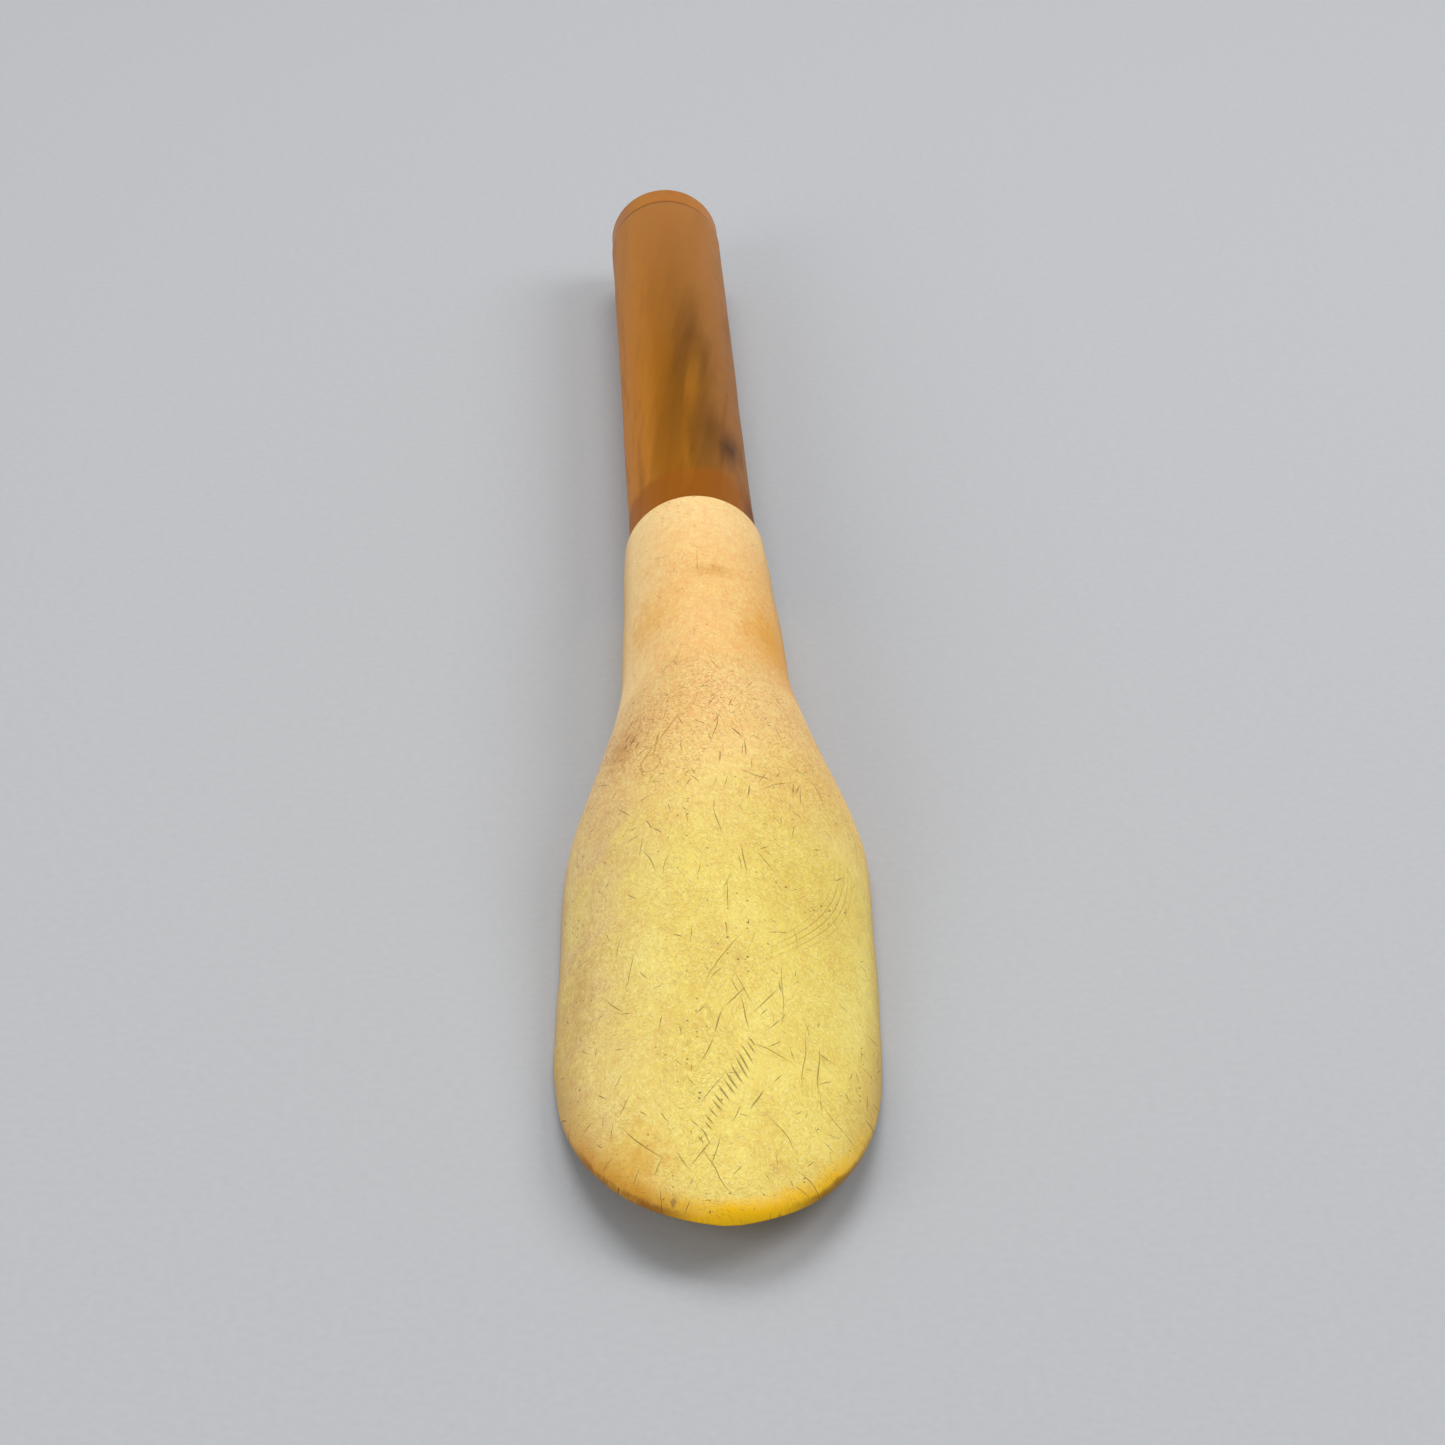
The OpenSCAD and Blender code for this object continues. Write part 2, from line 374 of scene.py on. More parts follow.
# Ladder of nicks: short strokes side by side in a slanting row up the front of the blade,
# longest near its top
NICK_COUNT = 16
for i in range(NICK_COUNT):
    t = i / (NICK_COUNT - 1)
    x = mix(-2.8, 4.1, t) + 0.12 * (i % 3 - 1)
    y = mix(14, 32.3, t)
    reach = 0.85 + 1.2 * math.sin(math.pi * t * t) + 0.15 * (i % 2)
    LONG_CUTS.append((x - 0.4 * reach, y + reach, x + 0.4 * reach, y - reach, 0.14 + 0.06 * reach))
cuts = 0.0
for x0, y0, x1, y1, width in LONG_CUTS:
    gap, held = stroke(wavering, x0, y0, x1, y1)
    from_middle = add(tree, "ShaderNodeMath", {0: held, 1: 0.5}, operation="SUBTRACT").outputs[0]
    fade = add(tree, "ShaderNodeMath", {0: from_middle, 1: from_middle}, operation="MULTIPLY").outputs[0]
    taper = add(tree, "ShaderNodeMath", {0: fade, 1: 2.4 * width, 2: gap},
                operation="MULTIPLY_ADD").outputs[0]
    line = add(tree, "ShaderNodeMapRange", {"Value": taper, "From Min": width * 0.75,
                                            "From Max": width * 0.2}).outputs[0]
    cuts = add(tree, "ShaderNodeMath", {0: line, 1: cuts}, operation="MAXIMUM").outputs[0]
for scatter in (hairlines(2.6, 2.6, 0.14, 0.5, 31), hairlines(8.0, 8.0, 0.15, 0.4, 53)):
    cuts = add(tree, "ShaderNodeMath", {0: scatter, 1: cuts}, operation="MAXIMUM").outputs[0]

# Curl: a brown thread-like mark over the left shoulder that ends in a small ring
CURL_THREADS = (
    (-8, 97.5, -8.5, 93.5), (-5.3, 100, -8.3, 95.5), (-8.3, 95.5, -10.8, 91.5), (-10.8, 91, -10.3, 89),
)
curl_marks = 0.0
for x0, y0, x1, y1 in CURL_THREADS:
    gap, _ = stroke(wavering, x0, y0, x1, y1)
    line = add(tree, "ShaderNodeMapRange", {"Value": gap, "From Min": 0.22, "From Max": 0.03}).outputs[0]
    curl_marks = add(tree, "ShaderNodeMath", {0: line, 1: curl_marks}, operation="MAXIMUM").outputs[0]
ring_at = add(tree, "ShaderNodeMapping", {"Vector": wavering, "Location": (-9.2, 91.2, 0),
                                          "Scale": (1.4, 1.95, 1e6)}, vector_type="TEXTURE").outputs[0]
ring_out = add(tree, "ShaderNodeVectorMath", {0: ring_at}, operation="LENGTH").outputs["Value"]
ring_gap = add(tree, "ShaderNodeMath", {0: ring_out, 1: 1.0}, operation="SUBTRACT").outputs[0]
ring_gap = add(tree, "ShaderNodeMath", {0: ring_gap}, operation="ABSOLUTE").outputs[0]
line = add(tree, "ShaderNodeMapRange", {"Value": ring_gap, "From Min": 0.1, "From Max": 0.02}).outputs[0]
curl_marks = add(tree, "ShaderNodeMath", {0: line, 1: curl_marks}, operation="MAXIMUM").outputs[0]

# Scuff: a sheaf of fine arcs across the right side, where something was drawn round it
SCUFF_MIDDLE = (-15.75, 75.8)
SCUFF_R = 34.4
SCUFF_SPACING = 0.84
scuff_from = add(tree, "ShaderNodeVectorMath", {0: on_skin,
                                                1: (-SCUFF_MIDDLE[0], -SCUFF_MIDDLE[1], 0)}).outputs[0]
scuff_flat = add(tree, "ShaderNodeVectorMath", {0: scuff_from, 1: (1, 1, 0)},
                 operation="MULTIPLY").outputs[0]
scuff_r = add(tree, "ShaderNodeVectorMath", {0: scuff_flat}, operation="LENGTH").outputs["Value"]
scuff_wave = add(tree, "ShaderNodeMath", {0: scuff_r, 1: SCUFF_SPACING / 2},
                 operation="PINGPONG").outputs[0]
scuff_line = add(tree, "ShaderNodeMapRange", {"Value": scuff_wave, "From Min": 0.13,
                                              "From Max": 0.03}).outputs[0]
scuff_off = add(tree, "ShaderNodeMath", {0: scuff_r, 1: SCUFF_R}, operation="SUBTRACT").outputs[0]
scuff_off = add(tree, "ShaderNodeMath", {0: scuff_off}, operation="ABSOLUTE").outputs[0]
scuff_band = add(tree, "ShaderNodeMapRange", {"Value": scuff_off, "From Min": 2.6,
                                              "From Max": 0.6}).outputs[0]
scuff_end = add(tree, "ShaderNodeMapRange", {"Value": along, "From Min": 47, "From Max": 55}).outputs[0]
scuff_top = add(tree, "ShaderNodeMapRange", {"Value": along, "From Min": 76, "From Max": 68}).outputs[0]
scuffs = add(tree, "ShaderNodeMath", {0: scuff_line, 1: scuff_band}, operation="MULTIPLY").outputs[0]
scuffs = add(tree, "ShaderNodeMath", {0: scuffs, 1: scuff_end}, operation="MULTIPLY").outputs[0]
scuffs = add(tree, "ShaderNodeMath", {0: scuffs, 1: scuff_top}, operation="MULTIPLY").outputs[0]
on_right = add(tree, "ShaderNodeMath", {0: across, 1: 0.0}, operation="GREATER_THAN").outputs[0]
scuffs = add(tree, "ShaderNodeMath", {0: scuffs, 1: on_right}, operation="MULTIPLY").outputs[0]

# Pores: pinholes of the bone, in loose groups
pore_cell = add(tree, "ShaderNodeTexVoronoi", {"Vector": on_skin, "Scale": 1 / 1.3},
                voronoi_dimensions="2D")
pore_dice = add(tree, "ShaderNodeSeparateColor", {0: pore_cell.outputs["Color"]}).outputs
pore_groups = add(tree, "ShaderNodeTexNoise", {"Vector": on_skin, "Scale": 0.12, "Detail": 2},
                  noise_dimensions="2D").outputs["Fac"]
pore_sum = add(tree, "ShaderNodeMath", {0: pore_groups, 1: 1.1, 2: pore_dice[0]},
               operation="MULTIPLY_ADD").outputs[0]
pore_size = add(tree, "ShaderNodeMapRange", {"Value": pore_sum, "From Min": 1.3, "From Max": 1.75,
                                             "To Max": 0.14}).outputs[0]
pores = add(tree, "ShaderNodeMath", {0: pore_cell.outputs["Distance"], 1: pore_size},
            operation="LESS_THAN").outputs[0]

# Body colour: cloudy yellow on the blade, tan on the worn shoulders, warm cream on the neck, its left
# flank paler as painted light, and beige down the left side, partly a stain and partly painted light
clouds = add(tree, "ShaderNodeTexNoise", {"Vector": in_mm, "Scale": 0.1, "Detail": 6,
                                          "Roughness": 0.62}).outputs["Fac"]
cloud_tint = add(tree, "ShaderNodeValToRGB", {0: clouds})
set_stops(cloud_tint.color_ramp, ((0.30, "#E0BF5A"), (0.70, "#ECD672"), (0.50, "#E7CC64")))
ragged = add(tree, "ShaderNodeTexNoise", {"Vector": on_skin, "Scale": 0.16, "Detail": 4,
                                          "Roughness": 0.6}, noise_dimensions="2D").outputs["Fac"]
ragged_along = add(tree, "ShaderNodeMath", {0: ragged, 1: 14.0, 2: along},
                   operation="MULTIPLY_ADD").outputs[0]
to_shoulder = add(tree, "ShaderNodeMapRange", {"Value": ragged_along, "From Min": 76,
                                               "From Max": 108}).outputs[0]
to_neck = add(tree, "ShaderNodeMapRange", {"Value": ragged_along, "From Min": 119,
                                           "From Max": 123}).outputs[0]
shoulder_tint = add(tree, "ShaderNodeMix", {0: clouds, 6: linear("#DFA95A"), 7: linear("#F5D08A")},
                    data_type="RGBA").outputs[2]
neck_tint = add(tree, "ShaderNodeMix", {0: clouds, 6: linear("#E8AC56"), 7: linear("#F5CA86")},
                data_type="RGBA").outputs[2]
body = add(tree, "ShaderNodeMix", {0: to_shoulder, 6: cloud_tint.outputs[0], 7: shoulder_tint},
           data_type="RGBA").outputs[2]
body = add(tree, "ShaderNodeMix", {0: to_neck, 6: body, 7: neck_tint}, data_type="RGBA").outputs[2]
# Beige down the left side: partly a stain, partly painted light that makes the side paler
left_side = add(tree, "ShaderNodeMapRange", {"Value": across, "From Min": -4, "From Max": -18}).outputs[0]
off_neck = add(tree, "ShaderNodeMapRange", {"Value": to_neck, "To Min": 1.0, "To Max": 0.3}).outputs[0]
left_stain_and_light = add(tree, "ShaderNodeMath", {0: left_side, 1: ragged}, operation="MULTIPLY").outputs[0]
left_stain_and_light = add(tree, "ShaderNodeMath", {0: left_stain_and_light, 1: off_neck}, operation="MULTIPLY").outputs[0]
body = add(tree, "ShaderNodeMix", {0: left_stain_and_light, 6: body, 7: linear("#DAB484")},
           data_type="RGBA").outputs[2]
neck_right = add(tree, "ShaderNodeMapRange", {"Value": across, "From Min": 5, "From Max": 16,
                                              "To Max": 0.7}).outputs[0]
neck_right = add(tree, "ShaderNodeMath", {0: neck_right, 1: to_neck}, operation="MULTIPLY").outputs[0]
body = add(tree, "ShaderNodeMix", {0: neck_right, 6: body, 7: linear("#D8963E")},
           data_type="RGBA").outputs[2]
# Left flank of the neck painted paler: painted light
neck_left_light = add(tree, "ShaderNodeMapRange", {"Value": across, "From Min": -4, "From Max": -14,
                                             "To Max": 0.6}).outputs[0]
neck_left_light = add(tree, "ShaderNodeMath", {0: neck_left_light, 1: to_neck}, operation="MULTIPLY").outputs[0]
body = add(tree, "ShaderNodeMix", {0: neck_left_light, 6: body, 7: linear("#FAD696")},
           data_type="RGBA").outputs[2]
at_collar = add(tree, "ShaderNodeMapRange", {"Value": along, "From Min": 144, "From Max": 162,
                                             "To Max": 0.5}).outputs[0]
body = add(tree, "ShaderNodeMix", {0: at_collar, 6: body, 7: linear("#FBD89A")},
           data_type="RGBA").outputs[2]
flecks = add(tree, "ShaderNodeTexNoise", {"Vector": in_mm, "Scale": 0.9, "Detail": 5,
                                          "Roughness": 0.8}).outputs["Fac"]
grey_flecks = add(tree, "ShaderNodeCombineColor", {0: flecks, 1: flecks, 2: flecks}).outputs[0]
body = add(tree, "ShaderNodeMix", {0: 0.5, 6: body, 7: grey_flecks}, data_type="RGBA",
           blend_type="OVERLAY").outputs[2]
# Painted glints: pale strokes mixed over the body
glint_share = add(tree, "ShaderNodeMath", {0: glints, 1: 0.42}, operation="MULTIPLY").outputs[0]
body = add(tree, "ShaderNodeMix", {0: glint_share, 6: body, 7: linear("#F9EBB4")},
           data_type="RGBA").outputs[2]

# Lip: dirty along the sides and darker there with painted shade where the flanks turn from the light. At
# the tip a clear amber is painted as a glow of light let through the thin bone, but browner and
# dark-edged towards the corners
# Dirt and painted shade along the sides, weaker at the tip
side_dirt_and_shade = add(tree, "ShaderNodeMapRange", {"Value": from_lip, "From Min": 5.5, "From Max": 0.5,
                                             "To Max": 0.65}).outputs[0]
at_tip = add(tree, "ShaderNodeMapRange", {"Value": along, "From Min": 30, "From Max": 14}).outputs[0]
off_tip = add(tree, "ShaderNodeMapRange", {"Value": at_tip, "To Min": 1.0, "To Max": 0.25}).outputs[0]
side_dirt_and_shade = add(tree, "ShaderNodeMath", {0: side_dirt_and_shade, 1: off_tip}, operation="MULTIPLY").outputs[0]
body = add(tree, "ShaderNodeMix", {0: side_dirt_and_shade, 6: body, 7: linear("#B28440")},
           data_type="RGBA").outputs[2]
fray = add(tree, "ShaderNodeMath", {0: ragged, 1: 0.8, 2: flecks}, operation="MULTIPLY_ADD").outputs[0]
ragged_lip = add(tree, "ShaderNodeMath", {0: fray, 1: -2.2, 2: from_lip},
                 operation="MULTIPLY_ADD").outputs[0]
# Painted glow of light through the thin lip: a band along it, widest a little right of the middle
from_glow_middle = add(tree, "ShaderNodeMath", {0: across, 1: 4.0}, operation="SUBTRACT").outputs[0]
from_glow_middle = add(tree, "ShaderNodeMath", {0: from_glow_middle}, operation="ABSOLUTE").outputs[0]
lip_w = add(tree, "ShaderNodeMapRange", {"Value": from_glow_middle, "From Min": 3, "From Max": 13,
                                         "To Min": -0.7, "To Max": -1.5}).outputs[0]
over_lip = add(tree, "ShaderNodeMath", {0: ragged_lip, 1: lip_w}, operation="SUBTRACT").outputs[0]
near_lip = add(tree, "ShaderNodeMapRange", {"Value": over_lip, "From Min": 1.1,
                                            "From Max": -0.6}).outputs[0]
lip_glow = add(tree, "ShaderNodeMath", {0: near_lip, 1: at_tip}, operation="MULTIPLY").outputs[0]
to_left = add(tree, "ShaderNodeMapRange", {"Value": across, "From Min": -3, "From Max": -10}).outputs[0]
from_point = add(tree, "ShaderNodeMath", {0: across, 1: 1.0}, operation="SUBTRACT").outputs[0]
from_point = add(tree, "ShaderNodeMath", {0: from_point}, operation="ABSOLUTE").outputs[0]
to_corner = add(tree, "ShaderNodeMapRange", {"Value": from_point, "From Min": 5,
                                             "From Max": 10}).outputs[0]
warm_left = add(tree, "ShaderNodeMapRange", {"Value": ragged_lip, "From Min": 2.0, "From Max": -1.0,
                                             "To Max": 0.45}).outputs[0]
warm_left = add(tree, "ShaderNodeMath", {0: warm_left, 1: to_left}, operation="MULTIPLY").outputs[0]
warm_left = add(tree, "ShaderNodeMath", {0: warm_left, 1: at_tip}, operation="MULTIPLY").outputs[0]
body = add(tree, "ShaderNodeMix", {0: warm_left, 6: body, 7: linear("#D49A38")},
           data_type="RGBA").outputs[2]
# Painted glow colour: bright amber, browner to the left
lip_glow_tint = add(tree, "ShaderNodeMix", {0: to_left, 6: linear("#F2BA00"), 7: linear("#CC8812")},
               data_type="RGBA").outputs[2]
body = add(tree, "ShaderNodeMix", {0: lip_glow, 6: body, 7: lip_glow_tint}, data_type="RGBA").outputs[2]
edge_fray = add(tree, "ShaderNodeMath", {0: fray, 1: -0.5, 2: from_lip},
                operation="MULTIPLY_ADD").outputs[0]
lip_edge = add(tree, "ShaderNodeMapRange", {"Value": edge_fray, "From Min": -0.05, "From Max": -0.3,
                                            "To Max": 0.75}).outputs[0]
lip_edge = add(tree, "ShaderNodeMath", {0: lip_edge, 1: to_corner}, operation="MULTIPLY").outputs[0]
lip_edge = add(tree, "ShaderNodeMath", {0: lip_edge, 1: at_tip}, operation="MULTIPLY").outputs[0]
body = add(tree, "ShaderNodeMix", {0: lip_edge, 6: body, 7: linear("#70400A")},
           data_type="RGBA").outputs[2]

# Stains: dark spots by the tip, soft orange on the neck, brown on the left shoulder and side, each as
# (across, from the tip, half width, half length, colour, share of it that is even, strength)
STAINS = (
    (-6.8, 3.1, 0.4, 0.6, "#7A6038", 0.5, 0.6), (5.9, 1.4, 0.7, 0.35, "#7A3C06", 0.5, 0.8),
    (11.0, 125.5, 7.0, 10.0, "#E29C24", 0.1, 0.85), (-9.0, 130.0, 7.0, 9.0, "#E6A440", 0.1, 0.55),
    (-14.0, 99.0, 5.0, 7.0, "#BC7C36", 0.1, 0.55), (-19.5, 46.0, 4.0, 20.0, "#B08844", 0.1, 0.4),
    (-10.5, 12.0, 6.0, 8.0, "#D29C30", 0.1, 0.75), (1.5, 140.0, 4.0, 3.0, "#D59A48", 0.1, 0.7),
)
for x0, s0, half_x, half_s, colour, core, strength in STAINS:
    spread = add(tree, "ShaderNodeMapping", {"Vector": on_skin, "Location": (x0, s0, 0),
                                             "Scale": (half_x, half_s, 1e6)},
                 vector_type="TEXTURE").outputs[0]
    out = add(tree, "ShaderNodeVectorMath", {0: spread}, operation="LENGTH").outputs["Value"]
    ragged_out = add(tree, "ShaderNodeMath", {0: flecks, 1: 2.0, 2: out},
                     operation="MULTIPLY_ADD").outputs[0]
    stain = add(tree, "ShaderNodeMapRange", {"Value": ragged_out, "From Min": 2.0, "From Max": 1.0 + core,
                                             "To Max": strength}).outputs[0]
    body = add(tree, "ShaderNodeMix", {0: stain, 6: body, 7: linear(colour)}, data_type="RGBA").outputs[2]

# Dirt in the marks, strongest over the shoulders and faint on the smooth neck
felt_dirt = add(tree, "ShaderNodeMapRange", {"Value": ragged_along, "From Min": 88, "From Max": 110,
                                             "To Min": 0.36, "To Max": 0.7}).outputs[0]
felt_end = add(tree, "ShaderNodeMapRange", {"Value": ragged_along, "From Min": 114,
                                            "From Max": 124}).outputs[0]
felt_dirt = add(tree, "ShaderNodeMix", {0: felt_end, 2: felt_dirt, 3: 0.1}).outputs[0]
felt_share = add(tree, "ShaderNodeMath", {0: felt, 1: felt_dirt}, operation="MULTIPLY").outputs[0]
felt_tint = add(tree, "ShaderNodeMix", {0: to_shoulder, 6: linear("#94702A"), 7: linear("#A86210")},
                data_type="RGBA").outputs[2]
body = add(tree, "ShaderNodeMix", {0: felt_share, 6: body, 7: felt_tint}, data_type="RGBA").outputs[2]
scuff_share = add(tree, "ShaderNodeMath", {0: scuffs, 1: 0.5}, operation="MULTIPLY").outputs[0]
body = add(tree, "ShaderNodeMix", {0: scuff_share, 6: body, 7: linear("#A07C28")},
           data_type="RGBA").outputs[2]
curl_share = add(tree, "ShaderNodeMath", {0: curl_marks, 1: 0.5}, operation="MULTIPLY").outputs[0]
body = add(tree, "ShaderNodeMix", {0: curl_share, 6: body, 7: linear("#9A5E12")},
           data_type="RGBA").outputs[2]
cut_dirt = add(tree, "ShaderNodeMix", {0: to_neck, 2: 0.7, 3: 0.35}).outputs[0]
cut_share = add(tree, "ShaderNodeMath", {0: cuts, 1: cut_dirt}, operation="MULTIPLY").outputs[0]
cut_tint = add(tree, "ShaderNodeMix", {0: to_shoulder, 6: linear("#6A4C14"), 7: linear("#7C4806")},
               data_type="RGBA").outputs[2]
body = add(tree, "ShaderNodeMix", {0: cut_share, 6: body, 7: cut_tint}, data_type="RGBA").outputs[2]
pore_share = add(tree, "ShaderNodeMath", {0: pores, 1: cut_dirt}, operation="MULTIPLY").outputs[0]
body = add(tree, "ShaderNodeMix", {0: pore_share, 6: body, 7: linear("#5A3E14")},
           data_type="RGBA").outputs[2]

# Finish: a waxy sheen, duller where the flecks stand up, with the marks sunk into it
gloss = add(tree, "ShaderNodeMapRange", {"Value": flecks, "To Min": 0.36, "To Max": 0.6}).outputs[0]
height = add(tree, "ShaderNodeMath", {0: flecks, 1: 0.03}, operation="MULTIPLY").outputs[0]
for marks, depth in ((felt, -0.008), (cuts, -0.03), (pores, -0.05)):
    height = add(tree, "ShaderNodeMath", {0: marks, 1: depth, 2: height},
                 operation="MULTIPLY_ADD").outputs[0]
relief = add(tree, "ShaderNodeBump", {"Height": height, "Distance": 0.001, "Strength": 1.0}).outputs[0]
feed(tree, shader, {
    "Base Color": body, "Roughness": gloss, "Normal": relief, "IOR": 1.5, "Specular IOR Level": 0.22,
    "Subsurface Weight": 0.1, "Subsurface Radius": (1.0, 0.55, 0.2), "Subsurface Scale": 0.0015,
})
blade.data.materials.append(bone)
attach(blade, "root")
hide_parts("blade")


# Joint dowel: a plain turned peg of pale wood, glued into the bores of the collar and the handle.
# It can't be seen in the joined piece.
wood, tree, shader = new_material("turned_dowel_wood")
place = add(tree, "ShaderNodeTexCoord").outputs["Object"]
fibres = add(tree, "ShaderNodeMapping", {"Vector": place, "Scale": (1400, 60, 1400)}).outputs[0]
grain = add(tree, "ShaderNodeTexNoise", {"Vector": fibres, "Scale": 1.0, "Detail": 4}).outputs["Fac"]
tint = add(tree, "ShaderNodeMix", {0: grain, 6: linear("#B98F58"), 7: linear("#E2C493")},
           data_type="RGBA").outputs[2]
relief = add(tree, "ShaderNodeBump", {"Height": grain, "Distance": 0.0001}).outputs[0]
feed(tree, shader, {"Base Color": tint, "Normal": relief, "Roughness": 0.6})
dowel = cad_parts["joint_dowel"]
dowel.data.materials.clear()
dowel.data.materials.append(wood)


# Handle: a round rod turned from translucent brown horn and polished by hand. It swells a little
# where it meets the collar, and is bored at one end for the dowel and at the other for the cap.
SWELL_R = (handle_high.z - handle_low.z) / 2
SWELL_L = 0.015
HANDLE_R = 0.0096
HANDLE_L = handle_high.y - handle_low.y
SPIGOT_BORE_D = 0.0092
SPIGOT_BORE_L = 0.012
DOWEL_BORE_L = 0.012
HANDLE_ROUND = 0.0004
HANDLE_SLICES = 64

handle = add_rod(handle_low.y, handle_high.y, HANDLE_R, sides=96)
handle.name = "horn_handle"
bpy.ops.object.transform_apply(location=True, rotation=True, scale=True)
bpy.ops.object.mode_set(mode="EDIT")
bpy.ops.mesh.select_all(action="DESELECT")
rod = bmesh.from_edit_mesh(handle.data)
for edge in rod.edges:
    edge.select_set(abs(edge.verts[0].co.y - edge.verts[1].co.y) < 1e-6)
bmesh.update_edit_mesh(handle.data)
bpy.ops.mesh.bevel(offset=HANDLE_ROUND, segments=3, affect="EDGES")
for i in range(1, HANDLE_SLICES):
    bpy.ops.mesh.select_all(action="SELECT")
    bpy.ops.mesh.bisect(plane_co=(0, handle_low.y + HANDLE_L * i / HANDLE_SLICES, 0), plane_no=(0, 1, 0))
bpy.ops.mesh.select_all(action="SELECT")
bpy.ops.mesh.normals_make_consistent(inside=False)
rod = bmesh.from_edit_mesh(handle.data)
for vert in rod.verts:
    swell = mix(1, SWELL_R / HANDLE_R, max(0.0, 1 - (vert.co.y - handle_low.y) / SWELL_L) ** 2)
    vert.co.x = AXIS_X + (vert.co.x - AXIS_X) * swell
    vert.co.z = AXIS_Z + (vert.co.z - AXIS_Z) * swell
bmesh.update_edit_mesh(handle.data)
bpy.ops.object.mode_set(mode="OBJECT")

# Turned by hand, so a little uneven, but true at both ends
turned = handle.vertex_groups.new(name="turned")
for vert in handle.data.vertices:
    inner = min(vert.co.y - handle_low.y, handle_high.y - vert.co.y)
    turned.add([vert.index], ease(inner, 0.001, 0.015), "REPLACE")
make_uneven(handle, "hand_turned_wobble", wave_l=0.03, depth=0.0004, group="turned")
bore(handle, handle_low.y - OVERCUT, handle_low.y + DOWEL_BORE_L, BORE_D)
bore(handle, handle_high.y - SPIGOT_BORE_L, handle_high.y + OVERCUT, SPIGOT_BORE_D)
bpy.ops.object.shade_smooth_by_angle(angle=math.radians(40))

# Polished horn: brown that is clear and golden in some layers and clouded dark in others, painted lighter
# towards both flanks as a sheen of reflection. The layers run along the rod at a slight slant, and near
# the collar's end an even band is painted as the glow of the pale dowel behind them.
horn, tree, shader = new_material("polished_horn")
place = add(tree, "ShaderNodeTexCoord").outputs["Object"]
slanted = add(tree, "ShaderNodeMapping", {"Vector": place, "Rotation": (0, 0, math.radians(8)),
                                          "Scale": (1000, 1000, 1000)}).outputs[0]
layers = add(tree, "ShaderNodeMapping", {"Vector": slanted, "Location": (4.1, 1.3, 0.7),
                                         "Scale": (0.3, 0.013, 0.3)}).outputs[0]
streaks = add(tree, "ShaderNodeTexNoise", {"Vector": layers, "Scale": 1.0, "Detail": 3,
                                           "Distortion": 0.4}).outputs["Fac"]
x_part, y_part, _ = add(tree, "ShaderNodeSeparateXYZ", {0: place}).outputs
to_right = add(tree, "ShaderNodeMapRange", {"Value": x_part, "From Min": AXIS_X - HANDLE_R,
                                            "From Max": AXIS_X + HANDLE_R}).outputs[0]
layers_and_flank_sheen = add(tree, "ShaderNodeMath", {0: streaks, 1: 0.35, 2: to_right},
            operation="MULTIPLY_ADD").outputs[0]
# Across the rod the brown turns lighter at both flanks, most on the left: a painted sheen of hazy
# reflection over the layers
tint = add(tree, "ShaderNodeValToRGB", {0: layers_and_flank_sheen})
set_stops(tint.color_ramp, (
    (0.16, "#C0761C"), (1.0, "#96602A"), (0.36, "#B4701A"),
    (0.48, "#985C08"), (0.68, "#7C4A02"), (0.86, "#86541A"),
))
in_streak = add(tree, "ShaderNodeMapRange", {"Value": streaks, "From Min": 0.5, "From Max": 0.3,
                                             "To Max": 0.7}).outputs[0]
body = add(tree, "ShaderNodeMix", {0: in_streak, 6: tint.outputs[0], 7: linear("#7C4C0C")},
           data_type="RGBA").outputs[2]

# The plainest layers, each a soft streak from one point to another, in mm, as
# (across, from the collar, across, from the collar, half width, colour, strength)
STREAKS = (
    (4, 85, -1, 42, 1.2, "#60380A", 0.6), (4.5, 68, 2, 42, 1.0, "#644012", 0.5),
    (5, 43, 2.5, 12, 1.2, "#5A3806", 0.6), (3, 62, -0.5, 24, 0.6, "#A86A10", 0.5),
    (7.2, 34, 6, 13, 1.2, "#3E2210", 0.8), (0, 30, -1, 3, 0.6, "#A4660A", 0.5),
    (9, 18, 9.6, -6, 1.2, "#5E2C00", 0.8),
)
on_rod = add(tree, "ShaderNodeMapping", {"Vector": place, "Location": (AXIS_X, handle_low.y, 0),
                                         "Scale": (0.001, 0.001, 0.001)},
             vector_type="TEXTURE").outputs[0]
sway = add(tree, "ShaderNodeTexNoise", {"Vector": layers, "Scale": 2.5, "Detail": 3}).outputs["Color"]
sway = add(tree, "ShaderNodeVectorMath", {0: sway, 1: (0.5, 0.5, 0.5)}, operation="SUBTRACT").outputs[0]
on_rod = add(tree, "ShaderNodeVectorMath", {0: sway, 1: (4.0, 0, 0), 2: on_rod},
             operation="MULTIPLY_ADD").outputs[0]
ragged = add(tree, "ShaderNodeTexNoise", {"Vector": slanted, "Scale": 0.12, "Detail": 2}).outputs["Fac"]
ragged_y = add(tree, "ShaderNodeMath", {0: ragged, 1: 0.008, 2: y_part},
               operation="MULTIPLY_ADD").outputs[0]
